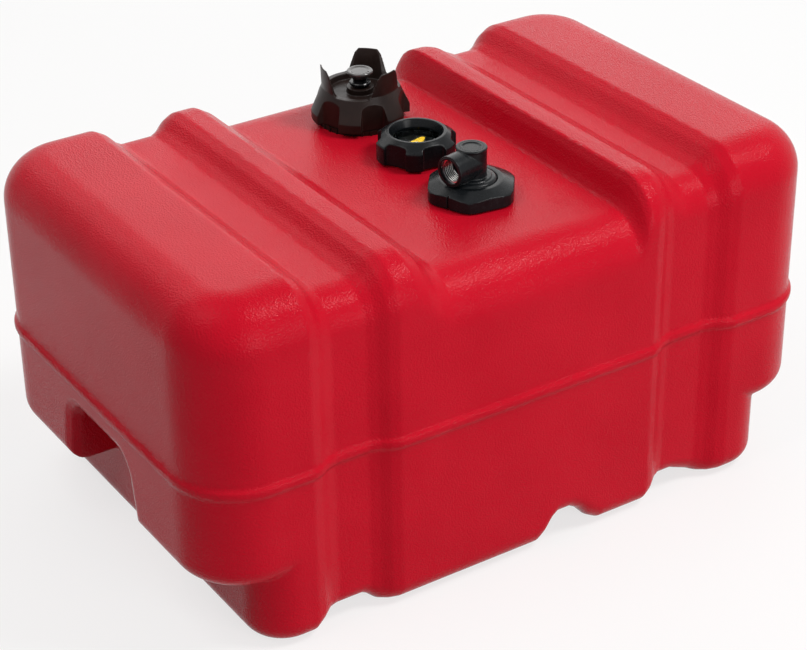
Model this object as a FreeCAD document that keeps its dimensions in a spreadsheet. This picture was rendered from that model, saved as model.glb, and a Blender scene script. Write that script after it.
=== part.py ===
import FreeCAD, Part
import Sketcher
import math
import os
from FreeCAD import Placement, Rotation, Vector

# Outboard fuel tank. Millimetres, X along the tank, Y across it, Z up from the floor.
# The origin is on the floor under the middle of the tank.
# A fitting's own heights are counted from the deck, the sunken middle of the tank's top.

doc = FreeCAD.newDocument("outboard_fuel_tank")
sheet = doc.addObject("Spreadsheet::Sheet", "Sizes")
nodes = []


# ---------------------------------------------------------------- sizes and expressions

class Size:
    """A number that also knows the sheet expression it comes from."""

    def __init__(self, value, text=None):
        self.value = float(value)
        self.text = text or f"{self.value:.9g}"

    def join(self, other, sign, value):
        return Size(value, f"({self.text} {sign} {other.text})")

    def __add__(self, other):
        other = sized(other)
        return self.join(other, "+", self.value + other.value)

    def __sub__(self, other):
        other = sized(other)
        return self.join(other, "-", self.value - other.value)

    def __mul__(self, other):
        other = sized(other)
        return self.join(other, "*", self.value * other.value)

    def __truediv__(self, other):
        other = sized(other)
        return self.join(other, "/", self.value / other.value)

    def __neg__(self):
        return self * -1

    def __radd__(self, other):
        return sized(other) + self

    def __rsub__(self, other):
        return sized(other) - self

    __rmul__ = __mul__


def sized(number):
    return number if isinstance(number, Size) else Size(number)


def dim(name, value):
    """Writes one driving dimension into the sheet."""
    row = len(sheet_names) + 1
    sheet_names.append(name)
    sheet.set(f"A{row}", name)
    sheet.set(f"B{row}", str(value))
    sheet.setAlias(f"B{row}", name)
    return Size(value, f"Sizes.{name}")


sheet_names = []
zero = Size(0)
full_turn = 360
quarter_turn = 90
tolerance = 0.01    # lengths and volumes below this count as nothing
over = 3            # how far a cutting shape runs past what it cuts
outer_steps = 3     # sections on each slope of the tank's outside
inner_steps = 1     # and of the room inside it
grip_steps = 2      # sections round a hand recess's edge
strip_steps = 20    # sections along the twisted strip

# Tank
tank_length = dim("tank_length", 584)
tank_width = dim("tank_width", 369.2)
block_height = dim("block_height", 302)
ridge_drop = dim("ridge_drop", 3)
groove_drop = dim("groove_drop", 17.5)
deck_drop = dim("deck_drop", 29)
groove_inset = dim("groove_inset", 9.6)
left_groove_lift = dim("left_groove_lift", 11.5)
right_groove_lift = dim("right_groove_lift", 14.5)
channel_lift = dim("channel_lift", 24)
wall = dim("wall", 5)
top_round = dim("top_round", 39)
groove_top_round = dim("groove_top_round", 30)
foot_round = dim("foot_round", 18)
groove_foot_round = dim("groove_foot_round", 14)
end_corner_round = dim("end_corner_round", 55)
foot_corner_round = dim("foot_corner_round", 35)
overhang_height = dim("overhang_height", 62.5)
foot_inset = dim("foot_inset", 43)
foot_height = dim("foot_height", 90)
bead_height = dim("bead_height", 151)
bead_thick = dim("bead_thick", 8.4)
bead_proud = dim("bead_proud", 2.7)
bead_bevel = dim("bead_bevel", 1.6)
inner_bevel = dim("inner_bevel", 0.8)
grip_height = dim("grip_height", 125)
grip_half_width = dim("grip_half_width", 46)
grip_lean = dim("grip_lean", 10)
grip_corner = dim("grip_corner", 20)
grip_edge_round = dim("grip_edge_round", 9)
grip_floor = dim("grip_floor", 40)

# Places along the tank where its section changes, counted from the middle
block_start = dim("block_start", 202)
left_groove_start = dim("left_groove_start", -178)
left_groove_end = dim("left_groove_end", -148)
left_ridge_start = dim("left_ridge_start", -125)
left_foot_end = dim("left_foot_end", -186)
left_foot_groove_end = dim("left_foot_groove_end", -154)
middle_foot_start = dim("middle_foot_start", -138)
left_ridge_end = dim("left_ridge_end", -108)
deck_start = dim("deck_start", -75)
channel_drop = dim("channel_drop", 8)
channel_start = dim("channel_start", 28)
channel_end = dim("channel_end", 42)
small_foot_start = dim("small_foot_start", 72)
deck_end = dim("deck_end", 100)
right_ridge_start = dim("right_ridge_start", 112)
small_foot_end = dim("small_foot_end", 118)
right_ridge_end = dim("right_ridge_end", 126)
side_groove_start = dim("side_groove_start", 140)
right_groove_start = dim("right_groove_start", 155)
right_groove_end = dim("right_groove_end", 176)
right_foot_start = dim("right_foot_start", 190)

# Shared by the small fittings
edge_bevel = dim("edge_bevel", 0.7)

# Clearances
running = dim("running", 0.08)
seat_gap = dim("seat_gap", 0.05)
push_gap = dim("push_gap", 0.02)
loose_gap = dim("loose_gap", 0.3)

# Fill neck and cap
fill_x = dim("fill_x", 23.5)
fill_y = dim("fill_y", 104)
fill_turn = dim("fill_turn", 15)
fill_neck_radius = dim("fill_neck_radius", 31.5)
fill_neck_height = dim("fill_neck_height", 20.5)
neck_wall = dim("neck_wall", 5)
collar_width = dim("collar_width", 5.4)
collar_height = dim("collar_height", 4.2)
collar_rib = dim("collar_rib", 1)
collar_rib_top = dim("collar_rib_top", 0.7)
collar_ribs = dim("collar_ribs", 30)
cap_lift = dim("cap_lift", 0.3)
cap_skirt_wall = dim("cap_skirt_wall", 10.62)
cap_skirt_height = dim("cap_skirt_height", 12)
cap_crease_height = dim("cap_crease_height", 32.6)
cap_crease_radius = dim("cap_crease_radius", 32.8)
crown_height = dim("crown_height", 51.5)
crown_radius = dim("crown_radius", 33.4)
crown_tip_wall = dim("crown_tip_wall", 1.2)
crown_root_wall = dim("crown_root_wall", 5)
cap_roof = dim("cap_roof", 2.6)
ear_count = dim("ear_count", 3)
valley_floor = dim("valley_floor", 30.8)
valley_round = dim("valley_round", 4)
valley_foot_half = dim("valley_foot_half", 15.4)
valley_waist_half = dim("valley_waist_half", 21)
valley_waist_height = dim("valley_waist_height", 47.5)
valley_top_half = dim("valley_top_half", 23.6)
valley_reach = dim("valley_reach", 20)
grip_count = dim("grip_count", 6)
cap_grip_floor = dim("cap_grip_floor", 35.2)
cap_grip_half = dim("cap_grip_half", 9.5)
cap_grip_mouth_half = dim("cap_grip_mouth_half", 13)
cap_grip_round = dim("cap_grip_round", 2.5)
gasket_thick = dim("gasket_thick", 2.3)
gasket_margin = dim("gasket_margin", 0.3)

# Vent
vent_boss_radius = dim("vent_boss_radius", 11.5)
vent_boss_height = dim("vent_boss_height", 31.8)
vent_stem_radius = dim("vent_stem_radius", 3)
vent_seal_radius = dim("vent_seal_radius", 5.5)
vent_seal_thick = dim("vent_seal_thick", 0.65)
vent_disc_radius = dim("vent_disc_radius", 9.1)
vent_disc_thick = dim("vent_disc_thick", 2.8)
vent_neck_radius = dim("vent_neck_radius", 6)
vent_neck_height = dim("vent_neck_height", 3.6)
vent_spigot_radius = dim("vent_spigot_radius", 4)
vent_spigot_height = dim("vent_spigot_height", 3)
vent_knob_radius = dim("vent_knob_radius", 11.2)
vent_knob_foot_radius = dim("vent_knob_foot_radius", 7.7)
vent_knob_bowl = dim("vent_knob_bowl", 4.3)
vent_knob_height = dim("vent_knob_height", 6.2)
vent_knob_rim = dim("vent_knob_rim", 2.2)
vent_knob_dish = dim("vent_knob_dish", 0.7)
vent_stem_end = dim("vent_stem_end", 1.2)

# Level gauge
gauge_x = dim("gauge_x", 21)
gauge_y = dim("gauge_y", 14)
gauge_turn = dim("gauge_turn", 24)
small_neck_radius = dim("small_neck_radius", 26)
small_neck_wall = dim("small_neck_wall", 4.5)
gauge_neck_height = dim("gauge_neck_height", 10)
small_gasket_thick = dim("small_gasket_thick", 2)
flange_thick = dim("flange_thick", 3.8)
flange_margin = dim("flange_margin", 0.4)
ring_wall = dim("ring_wall", 8.12)
ring_foot = dim("ring_foot", 1.8)
ring_shoulder = dim("ring_shoulder", 17.5)
ring_shoulder_round = dim("ring_shoulder_round", 2.5)
ring_crest_radius = dim("ring_crest_radius", 23.5)
ring_crest_height = dim("ring_crest_height", 24)
ring_crest_width = dim("ring_crest_width", 1.6)
ring_lip_radius = dim("ring_lip_radius", 20.4)
ring_lip_thick = dim("ring_lip_thick", 1.4)
ring_grip_floor = dim("ring_grip_floor", 28.9)
ring_grip_half = dim("ring_grip_half", 9.5)
ring_grip_mouth_half = dim("ring_grip_mouth_half", 10.8)
ring_grip_round = dim("ring_grip_round", 3)
lens_radius = dim("lens_radius", 20.9)
lens_thick = dim("lens_thick", 1.8)
lens_ledge = dim("lens_ledge", 1)
well_floor = dim("well_floor", 9.6)
well_floor_thick = dim("well_floor_thick", 2)
plug_play = dim("plug_play", 0.3)
dial_thick = dim("dial_thick", 0.6)
dial_hole_radius = dim("dial_hole_radius", 4.6)
pin_radius = dim("pin_radius", 0.8)
pin_depth = dim("pin_depth", 1.5)
pin_head_radius = dim("pin_head_radius", 1.5)
pin_head_thick = dim("pin_head_thick", 0.4)
magnet_lift = dim("magnet_lift", 0.1)
follower_radius = dim("follower_radius", 4)
follower_thick = dim("follower_thick", 1.4)
pointer_thick = dim("pointer_thick", 1.3)
pointer_hub_radius = dim("pointer_hub_radius", 5.1)
pointer_reach = dim("pointer_reach", 13.2)
pointer_tip_radius = dim("pointer_tip_radius", 2)
pointer_hub_round = dim("pointer_hub_round", 4.6)
pointer_tip_round = dim("pointer_tip_round", 1.8)
pointer_turn = dim("pointer_turn", 29)
boss_outer_radius = dim("boss_outer_radius", 11)
boss_inner_radius = dim("boss_inner_radius", 6.6)
boss_depth = dim("boss_depth", 6)
drive_magnet_radius = dim("drive_magnet_radius", 6)
drive_magnet_thick = dim("drive_magnet_thick", 3)
drive_magnet_drop = dim("drive_magnet_drop", 0.4)
bush_thick = dim("bush_thick", 3)
spindle_radius = dim("spindle_radius", 1.5)
spindle_collar_radius = dim("spindle_collar_radius", 3)
spindle_collar_thick = dim("spindle_collar_thick", 1)
spindle_tail = dim("spindle_tail", 4)
strip_width = dim("strip_width", 6)
strip_thick = dim("strip_thick", 0.8)
strip_sweep = dim("strip_sweep", 270)
rod_radius = dim("rod_radius", 1.5)
rod_spacing = dim("rod_spacing", 9)
rod_socket = dim("rod_socket", 4)
foot_plate_height = dim("foot_plate_height", 32)
foot_plate_thick = dim("foot_plate_thick", 3)
foot_plate_half_length = dim("foot_plate_half_length", 13)
foot_plate_half_width = dim("foot_plate_half_width", 5)
float_radius = dim("float_radius", 18)
float_height = dim("float_height", 22)
float_bore_radius = dim("float_bore_radius", 4.2)
float_top_gap = dim("float_top_gap", 5)
float_stop_gap = dim("float_stop_gap", 1)
strip_foot_gap = dim("strip_foot_gap", 0.5)
insert_radius = dim("insert_radius", 5.2)
insert_thick = dim("insert_thick", 3)

# Fuel pickup
pickup_x = dim("pickup_x", 18)
pickup_y = dim("pickup_y", -70)
pickup_nut_turn = dim("pickup_nut_turn", -7.75)
port_turn = dim("port_turn", 12)
pickup_neck_height = dim("pickup_neck_height", 8)
nut_corner_radius = dim("nut_corner_radius", 39.4)
nut_foot = dim("nut_foot", 1.3)
nut_edge_height = dim("nut_edge_height", 9.7)
nut_height = dim("nut_height", 15.8)
nut_top_radius = dim("nut_top_radius", 25)
nut_hole_radius = dim("nut_hole_radius", 20.9)
nut_corner_round = dim("nut_corner_round", 3)
nut_slot_turn = dim("nut_slot_turn", -150)
nut_slot_half = dim("nut_slot_half", 0.7)
nut_slot_depth = dim("nut_slot_depth", 1.6)
nut_sides = dim("nut_sides", 6)
pickup_flange_thick = dim("pickup_flange_thick", 2.1)
dome_radius = dim("dome_radius", 20.6)
dome_height = dim("dome_height", 17.4)
dome_round = dim("dome_round", 3.5)
ring_step_radius = dim("ring_step_radius", 16)
ring_step_height = dim("ring_step_height", 18.4)
turret_radius = dim("turret_radius", 12.3)
turret_height = dim("turret_height", 43)
turret_lip = dim("turret_lip", 0.4)
turret_lip_height = dim("turret_lip_height", 1.4)
spigot_radius = dim("spigot_radius", 19)
spigot_depth = dim("spigot_depth", 8)
tube_socket_radius = dim("tube_socket_radius", 9.5)
tube_socket_end = dim("tube_socket_end", -14)
tube_socket_depth = dim("tube_socket_depth", 14)
port_height = dim("port_height", 29)
port_wall = dim("port_wall", 1.48)
port_reach = dim("port_reach", 25.5)
passage_radius = dim("passage_radius", 4)
insert_sleeve_wall = dim("insert_sleeve_wall", 1.4)
port_bore_radius = dim("port_bore_radius", 9.9)
port_bore_length = dim("port_bore_length", 15)
plug_radius = dim("plug_radius", 9.4)
plug_thick = dim("plug_thick", 3.6)
plug_dish = dim("plug_dish", 0.8)
plug_rim = dim("plug_rim", 1.4)
tube_radius = dim("tube_radius", 5.5)
tube_wall = dim("tube_wall", 1.5)
tube_foot_height = dim("tube_foot_height", 42)
cup_radius = dim("cup_radius", 9)
cup_foot_height = dim("cup_foot_height", 29)
cup_height = dim("cup_height", 17)
cup_wall = dim("cup_wall", 1.4)
cup_window_half = dim("cup_window_half", 2.6)
cup_windows = dim("cup_windows", 6)
screen_wall = dim("screen_wall", 0.5)

doc.recompute()

# Worked out from the driving dimensions
half_length = tank_length / 2
half_width = tank_width / 2
deck_height = block_height - deck_drop
cap_foot = collar_height + cap_lift
cap_radius = fill_neck_radius + running + cap_skirt_wall
cap_ceiling = fill_neck_height + seat_gap * 2 + gasket_thick + seat_gap
crown_floor = cap_ceiling + cap_roof
vent_disc_foot = vent_boss_height + seat_gap + vent_seal_thick + seat_gap
vent_knob_foot = vent_disc_foot + vent_disc_thick + vent_neck_height
gauge_flange = gauge_neck_height + seat_gap * 2 + small_gasket_thick + seat_gap
gauge_top = gauge_flange + flange_thick
flange_radius = small_neck_radius - flange_margin
plug_outer = small_neck_radius - small_neck_wall - plug_play
well_underside = well_floor - well_floor_thick
lens_foot = gauge_top - lens_thick - seat_gap
magnet_foot = well_floor + magnet_lift
pointer_foot = magnet_foot + follower_thick + seat_gap
pin_top = pointer_foot + pointer_thick + seat_gap
drive_magnet_foot = well_underside - drive_magnet_drop - drive_magnet_thick
bush_foot = -boss_depth
rod_foot = foot_plate_height + foot_plate_thick - deck_height
float_foot = rod_foot + float_stop_gap
strip_top = bush_foot - spindle_tail
strip_foot = rod_foot + strip_foot_gap
float_travel = bush_foot - float_top_gap - float_foot - float_height
strip_length = strip_top - strip_foot
pickup_flange = pickup_neck_height + seat_gap * 2 + small_gasket_thick + seat_gap
pickup_flange_top = pickup_flange + pickup_flange_thick
insert_sleeve_radius = port_bore_radius + insert_sleeve_wall
port_radius = insert_sleeve_radius + push_gap + port_wall


# ---------------------------------------------------------------- drawing helpers

def origin_part(body, role):
    return [part for part in body.Origin.OriginFeatures if part.Role == role][0]


def new_body(label, x=zero, y=zero, z=zero, turn=zero):
    body = doc.addObject("PartDesign::Body", label)
    body.Label = label
    put(body, x, y, z, turn)
    return body


def put(thing, x=zero, y=zero, z=zero, turn=zero):
    """Places an object, its place bound to the sheet."""
    thing.Placement = Placement(Vector(x.value, y.value, z.value), Rotation(Vector(0, 0, 1), turn.value))
    for letter, size in zip("xyz", (x, y, z)):
        if size is not zero:
            thing.setExpression(f"Placement.Base.{letter}", size.text)


def new_sketch(body, role, offset=zero):
    """A sketch on one of the body's own planes, or parallel to it."""
    drawing = body.newObject("Sketcher::SketchObject", f"{body.Name}_sketch")
    drawing.AttachmentSupport = (origin_part(body, role), [""])
    drawing.MapMode = "FlatFace"
    drawing.AttachmentOffset = Placement(Vector(0, 0, offset.value), Rotation())
    if offset is not zero:
        drawing.setExpression("AttachmentOffset.Base.z", offset.text)
    return drawing


def bind(drawing, constraint, text):
    number = drawing.addConstraint(constraint)
    drawing.setExpression(f"Constraints[{number}]", text)


def pin_point(drawing, edge, end, x, y):
    bind(drawing, Sketcher.Constraint("DistanceX", -1, 1, edge, end, x.value), x.text)
    bind(drawing, Sketcher.Constraint("DistanceY", -1, 1, edge, end, y.value), y.text)


def corner_ends(before, corner, after):
    """Where a rounded corner starts and ends on its two sides, and the centre of its arc."""
    x, y, radius = corner
    come = Vector(x.value - before[0].value, y.value - before[1].value, 0).normalize()
    leave = Vector(after[0].value - x.value, after[1].value - y.value, 0).normalize()
    turn = come.getAngle(leave)
    cut = math.tan(turn / 2)
    first = (x - radius * (cut * come.x), y - radius * (cut * come.y))
    last = (x + radius * (cut * leave.x), y + radius * (cut * leave.y))
    side = 1 if come.cross(leave).z > 0 else -1
    start = Vector(first[0].value, first[1].value, 0)
    centre = start + Vector(-come.y, come.x, 0) * (side * radius.value)
    return first, last, centre, side


def outline(drawing, points):
    """Draws a closed outline. A point is (x, y), or (x, y, radius) for a rounded corner."""
    corners = [tuple(sized(number) for number in point) for point in points]
    stops = []
    for number, corner in enumerate(corners):
        if len(corner) == 2:
            stops.append((corner, corner, None, 0))
        else:
            stops.append(corner_ends(corners[number - 1], corner, corners[(number + 1) % len(corners)]))
    lines = []
    for number, stop in enumerate(stops):
        start = stop[1]
        end = stops[(number + 1) % len(stops)][0]
        first = Vector(start[0].value, start[1].value, 0)
        last = Vector(end[0].value, end[1].value, 0)
        lines.append(drawing.addGeometry(Part.LineSegment(first, last), False))
    for number, (first, last, centre, side) in enumerate(stops):
        line_in = lines[number - 1]
        line_out = lines[number]
        pin_point(drawing, line_out, 1, *last[:2])
        if centre is None:
            drawing.addConstraint(Sketcher.Constraint("Coincident", line_in, 2, line_out, 1))
        else:
            pin_point(drawing, line_in, 2, *first[:2])
            round_corner(drawing, corners[number][2], first, last, centre, side, line_in, line_out)


def round_corner(drawing, radius, first, last, centre, side, line_in, line_out):
    """Adds the arc of one corner, joined to its two lines."""
    start, end = (first, last) if side > 0 else (last, first)
    start_angle = math.atan2(start[1].value - centre.y, start[0].value - centre.x)
    end_angle = math.atan2(end[1].value - centre.y, end[0].value - centre.x)
    circle = Part.Circle(centre, Vector(0, 0, 1), radius.value)
    arc = drawing.addGeometry(Part.ArcOfCircle(circle, start_angle, end_angle), False)
    near, far = (1, 2) if side > 0 else (2, 1)
    drawing.addConstraint(Sketcher.Constraint("Coincident", line_in, 2, arc, near))
    drawing.addConstraint(Sketcher.Constraint("Coincident", line_out, 1, arc, far))
    bind(drawing, Sketcher.Constraint("Radius", arc, radius.value), radius.text)


def ring(drawing, radius, x=zero, y=zero):
    """Draws a circle."""
    x = sized(x)
    y = sized(y)
    circle = Part.Circle(Vector(x.value, y.value, 0), Vector(0, 0, 1), radius.value)
    edge = drawing.addGeometry(circle, False)
    pin_point(drawing, edge, 3, x, y)
    bind(drawing, Sketcher.Constraint("Radius", edge, radius.value), radius.text)


def turned(body, points):
    """Turns a profile of (radius, height) points about the body's Z axis."""
    drawing = new_sketch(body, "XZ_Plane")
    outline(drawing, points)
    feature = body.newObject("PartDesign::Revolution", f"{body.Name}_turned")
    feature.Profile = drawing
    feature.ReferenceAxis = (drawing, ["V_Axis"])
    feature.Angle = full_turn
    return feature


def turned_body(label, points, x=zero, y=zero, z=zero, turn=zero):
    body = new_body(label, x, y, z, turn)
    turned(body, points)
    return body


def pad(body, drawing, length):
    feature = body.newObject("PartDesign::Pad", f"{body.Name}_pad")
    feature.Profile = drawing
    feature.Length = length.value
    feature.setExpression("Length", length.text)
    return feature


def pocket(body, drawing, length=None, outward=False):
    """Cuts a sketch into the body and makes sure that it took something away."""
    doc.recompute()
    before = body.Shape.Volume
    feature = body.newObject("PartDesign::Pocket", f"{body.Name}_pocket")
    feature.Profile = drawing
    feature.Reversed = outward
    if length is None:
        feature.Type = "ThroughAll"
    else:
        feature.Length = length.value
        feature.setExpression("Length", length.text)
    doc.recompute()
    if body.Shape.Volume >= before - tolerance:
        raise ValueError(f"{feature.Name} in {body.Label} cuts nothing")
    return feature


def groove(body, points):
    """Turns a profile about the Z axis and takes it away."""
    doc.recompute()
    before = body.Shape.Volume
    drawing = new_sketch(body, "XZ_Plane")
    outline(drawing, points)
    feature = body.newObject("PartDesign::Groove", f"{body.Name}_groove")
    feature.Profile = drawing
    feature.ReferenceAxis = (drawing, ["V_Axis"])
    feature.Angle = full_turn
    doc.recompute()
    if body.Shape.Volume >= before - tolerance:
        raise ValueError(f"{feature.Name} in {body.Label} cuts nothing")
    return feature


def around(body, feature, count):
    """Repeats a feature about the body's Z axis."""
    pattern = body.newObject("PartDesign::PolarPattern", f"{feature.Name}_ring")
    pattern.Originals = [feature]
    pattern.Axis = (origin_part(body, "Z_Axis"), [""])
    pattern.Angle = full_turn
    pattern.Occurrences = int(count.value)
    pattern.setExpression("Occurrences", count.text)
    body.Tip = pattern
    return pattern


def ease_edges(body, feature, kind, size, wanted):
    """Rounds or bevels those of the feature's edges that the test picks."""
    doc.recompute()
    names = [f"Edge{number + 1}" for number, edge in enumerate(feature.Shape.Edges) if wanted(edge)]
    eased_edges = body.newObject(f"PartDesign::{kind}", f"{body.Name}_{kind}")
    eased_edges.Base = (feature, names)
    measure = "Radius" if kind == "Fillet" else "Size"
    setattr(eased_edges, measure, size.value)
    eased_edges.setExpression(measure, size.text)
    return eased_edges


def joined(label, shapes):
    """Fuses several objects."""
    fuse = doc.addObject("Part::MultiFuse", label)
    fuse.Shapes = shapes
    fuse.Refine = False
    return fuse


def cut(label, base, tool):
    """Takes one object away from another."""
    result = doc.addObject("Part::Cut", label)
    result.Base = base
    result.Tool = tool
    result.Refine = False
    return result


def mirrored(label, source):
    """Mirrors an object to the other end of the tank."""
    copy = doc.addObject("Part::Mirroring", label)
    copy.Source = source
    copy.Normal = Vector(1, 0, 0)
    return copy


def band(near, far, low, high):
    """The four profile points of a plain ring, or of a disc when near is zero."""
    return [(near, low), (far, low), (far, high), (near, high)]


def lower_bevel(radius, height):
    """The two profile points of a bevelled edge at a disc's foot."""
    return [(radius - edge_bevel, height), (radius, height + edge_bevel)]


def upper_bevel(radius, height):
    """The two profile points of a bevelled edge at a disc's top."""
    return [(radius, height - edge_bevel), (radius - edge_bevel, height)]


def cylinder(label, radius, height, x=zero, y=zero, z=zero):
    rod = doc.addObject("Part::Cylinder", label)
    rod.Label = label
    rod.setExpression("Radius", radius.text)
    rod.setExpression("Height", height.text)
    put(rod, x, y, z)
    return rod


def node(thing, label=None):
    """Marks an object as a finished sub-part."""
    thing.Label = label or thing.Label
    nodes.append(thing)
    return thing


# ---------------------------------------------------------------- tank sections

def eased(start, end, low, high, x):
    """The level at x on an S-shaped slope from low to high."""
    share = (x.value - start.value) / (end.value - start.value)
    share = min(1, max(0, share))
    smooth = share * share * (3 - 2 * share)
    return low + (high - low) * smooth


def level(track, x):
    """The level at x of a track, a list of (place, level) pairs in order."""
    for (start, low), (end, high) in zip(track, track[1:]):
        if x.value <= end.value + tolerance:
            return low if low is high else eased(start, end, low, high, x)
    return track[-1][1]


def top_track():
    ridge = block_height - ridge_drop
    groove_floor = block_height - groove_drop
    return [
        (-block_start, block_height),
        (left_groove_start, groove_floor),
        (left_groove_end, groove_floor),
        (left_ridge_start, ridge),
        (left_ridge_end, ridge),
        (deck_start, deck_height),
        (deck_end, deck_height),
        (right_ridge_start, ridge),
        (right_ridge_end, ridge),
        (right_groove_start, groove_floor),
        (right_groove_end, groove_floor),
        (block_start, block_height),
    ]


def side_track(full, grooved):
    return [
        (-block_start, full),
        (left_groove_start, grooved),
        (left_groove_end, grooved),
        (left_ridge_start, full),
        (small_foot_end, full),
        (side_groove_start, grooved),
        (right_groove_end, grooved),
        (block_start, full),
    ]


def bottom_track(foot, left_grooved, right_grooved, channel):
    return [
        (-block_start, foot),
        (left_foot_end, left_grooved),
        (left_foot_groove_end, left_grooved),
        (middle_foot_start, foot),
        (channel_drop, foot),
        (channel_start, channel),
        (channel_end, channel),
        (small_foot_start, foot),
        (small_foot_end, foot),
        (side_groove_start, right_grooved),
        (right_groove_start, right_grooved),
        (right_foot_start, foot),
        (block_start, foot),
    ]


def between(start, end, steps):
    """Places spaced evenly from start on, without end."""
    return [start + (end - start) * (step / steps) for step in range(steps)]


def stations(steps):
    """Places of the tank's sections, with the given number of steps on each slope."""
    slopes = (
        (-block_start, left_groove_start),
        (left_groove_end, left_ridge_start),
        (left_ridge_end, deck_start),
        (channel_drop, channel_start),
        (channel_end, small_foot_start),
        (deck_end, right_ridge_start),
        (small_foot_end, side_groove_start),
        (right_groove_end, block_start),
    )
    places = [left_foot_groove_end, right_groove_start]
    for start, end in slopes:
        places += between(start, end, steps) + [end]
    return sorted(places, key=lambda place: place.value)


def slab(drawing, half, low, high, low_round, high_round, outer):
    """A section across the tank, rounded and beaded outside, bevelled for the room inside."""
    if not outer:
        low_cut = low_round * inner_bevel
        high_cut = high_round * inner_bevel
        outline(drawing, [
            (-half, low + low_cut),
            (-half + low_cut, low),
            (half - low_cut, low),
            (half, low + low_cut),
            (half, high - high_cut),
            (half - high_cut, high),
            (-half + high_cut, high),
            (-half, high - high_cut),
        ])
        return
    bead_low = bead_height - bead_thick / 2
    bead_high = bead_low + bead_thick
    edge = half + bead_proud
    right = [
        (half, bead_low),
        (edge - bead_bevel, bead_low),
        (edge, bead_low + bead_bevel),
        (edge, bead_high - bead_bevel),
        (edge - bead_bevel, bead_high),
        (half, bead_high),
    ]
    left = [(-x, z) for x, z in reversed(right)]
    outline(drawing, [
        (-half, low, low_round),
        (half, low, low_round),
        *right,
        (half, high, high_round),
        (-half, high, high_round),
        *left,
    ])


def lofted(label, places, draw):
    """Joins sections drawn at the given places by straight strips."""
    body = new_body(label)
    drawings = []
    for place in places:
        drawing = new_sketch(body, "YZ_Plane", place)
        draw(drawing, place)
        drawings.append(drawing)
    loft = body.newObject("PartDesign::AdditiveLoft", f"{label}_loft")
    loft.Profile = drawings[0]
    loft.Sections = drawings[1:]
    loft.Ruled = True
    return body


def middle_form(label, inset, steps, outer):
    """The tank between its end blocks, or the room inside it when inset by the wall."""
    top = top_track()
    side = side_track(half_width, half_width - groove_inset)
    bottom = bottom_track(zero, left_groove_lift, right_groove_lift, channel_lift)
    top_rounds = side_track(top_round, groove_top_round)
    foot_rounds = bottom_track(foot_round, groove_foot_round, groove_foot_round, groove_foot_round)

    def draw(drawing, x):
        slab(
            drawing,
            level(side, x) - inset,
            level(bottom, x) + inset,
            level(top, x) - inset,
            level(foot_rounds, x) - inset,
            level(top_rounds, x) - inset,
            outer,
        )

    return lofted(label, stations(steps), draw)


def end_slab(label, end, half, low, high, corner, kind, low_size, high_size):
    """A block at the tank's right end, its edges rounded (Fillet) or bevelled (Chamfer)."""
    body = new_body(label)
    drawing = new_sketch(body, "XY_Plane", low)
    outline(drawing, [
        (block_start, -half),
        (end, -half, corner),
        (end, half, corner),
        (block_start, half),
    ])
    block = pad(body, drawing, high - low)

    def on_rim(height):
        def wanted(edge):
            box = edge.BoundBox
            gap = max(abs(box.ZMin - height.value), abs(box.ZMax - height.value))
            return gap < tolerance and box.XMax > block_start.value + tolerance
        return wanted

    if high_size is not None:
        block = ease_edges(body, block, kind, high_size, on_rim(high))
    ease_edges(body, block, kind, low_size, on_rim(low))
    return body


def end_form(label, inset, outer):
    """One end block on its foot, the hand recess cut in."""
    kind = "Fillet" if outer else "Chamfer"
    share = 1 if outer else inner_bevel
    block = end_slab(
        f"{label}_block",
        half_length - inset,
        half_width - inset,
        overhang_height + inset,
        block_height - inset,
        end_corner_round - inset,
        kind,
        (foot_round - inset) * share,
        (top_round - inset) * share,
    )
    foot = end_slab(
        f"{label}_foot",
        half_length - foot_inset - inset,
        half_width - inset,
        zero + inset,
        foot_height,
        foot_corner_round - inset,
        kind,
        (foot_round - inset) * share,
        None,
    )
    hollow = cut(f"{label}_hollow", block, grip_form(f"{label}_grip", inset))
    return joined(label, [hollow, foot])


def grip_form(label, inset):
    """The room that a hand recess takes, flared towards its mouth."""
    slope = math.tan(math.radians(grip_lean.value))

    def draw(drawing, flare):
        half = grip_half_width + inset + flare
        high = grip_height + inset + flare
        spread = (high - grip_floor) * slope
        outline(drawing, [
            (-half - spread, grip_floor),
            (half + spread, grip_floor),
            (half, high, grip_corner + inset + flare),
            (-half, high, grip_corner + inset + flare),
        ])

    places = [(half_length - foot_inset - inset, zero)]
    for step in range(grip_steps + 1):
        angle = math.radians(quarter_turn * step / grip_steps)
        back = 1 - math.sin(angle)
        out = 1 - math.cos(angle)
        places.append((half_length - grip_edge_round * back, grip_edge_round * out))
    places.append((half_length + grip_edge_round, grip_edge_round))
    flares = {place.text: flare for place, flare in places}
    stops = [place for place, flare in places]
    return lofted(label, stops, lambda drawing, place: draw(drawing, flares[place.text]))


def end_bead(label):
    low = bead_height - bead_thick / 2
    half = half_width + bead_proud
    end = half_length + bead_proud
    corner = end_corner_round + bead_proud
    return end_slab(label, end, half, low, low + bead_thick, corner, "Chamfer", bead_bevel, bead_bevel)


def tank_neck(label, x, y, radius, height):
    return cylinder(label, radius, height + wall, x, y, deck_height - wall)


def tank_bore(label, x, y, radius, height):
    """Room inside a neck, from below the deck to above the neck."""
    return cylinder(label, radius, height + wall + 2 * over, x, y, deck_height - wall - over)


def tank_outside():
    """The solid outline of the tank with its bead and its three necks."""
    end = joined("beaded_end", [end_form("outer_end", zero, True), end_bead("bead_end")])
    outside = joined("outer_form", [
        middle_form("outer_middle", zero, outer_steps, True),
        end,
        mirrored("outer_far_end", end),
    ])
    return joined("necked_form", [
        outside,
        tank_neck("fill_neck", fill_x, fill_y, fill_neck_radius, fill_neck_height),
        tank_neck("gauge_neck", gauge_x, gauge_y, small_neck_radius, gauge_neck_height),
        tank_neck("pickup_neck", pickup_x, pickup_y, small_neck_radius, pickup_neck_height),
    ])


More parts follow.
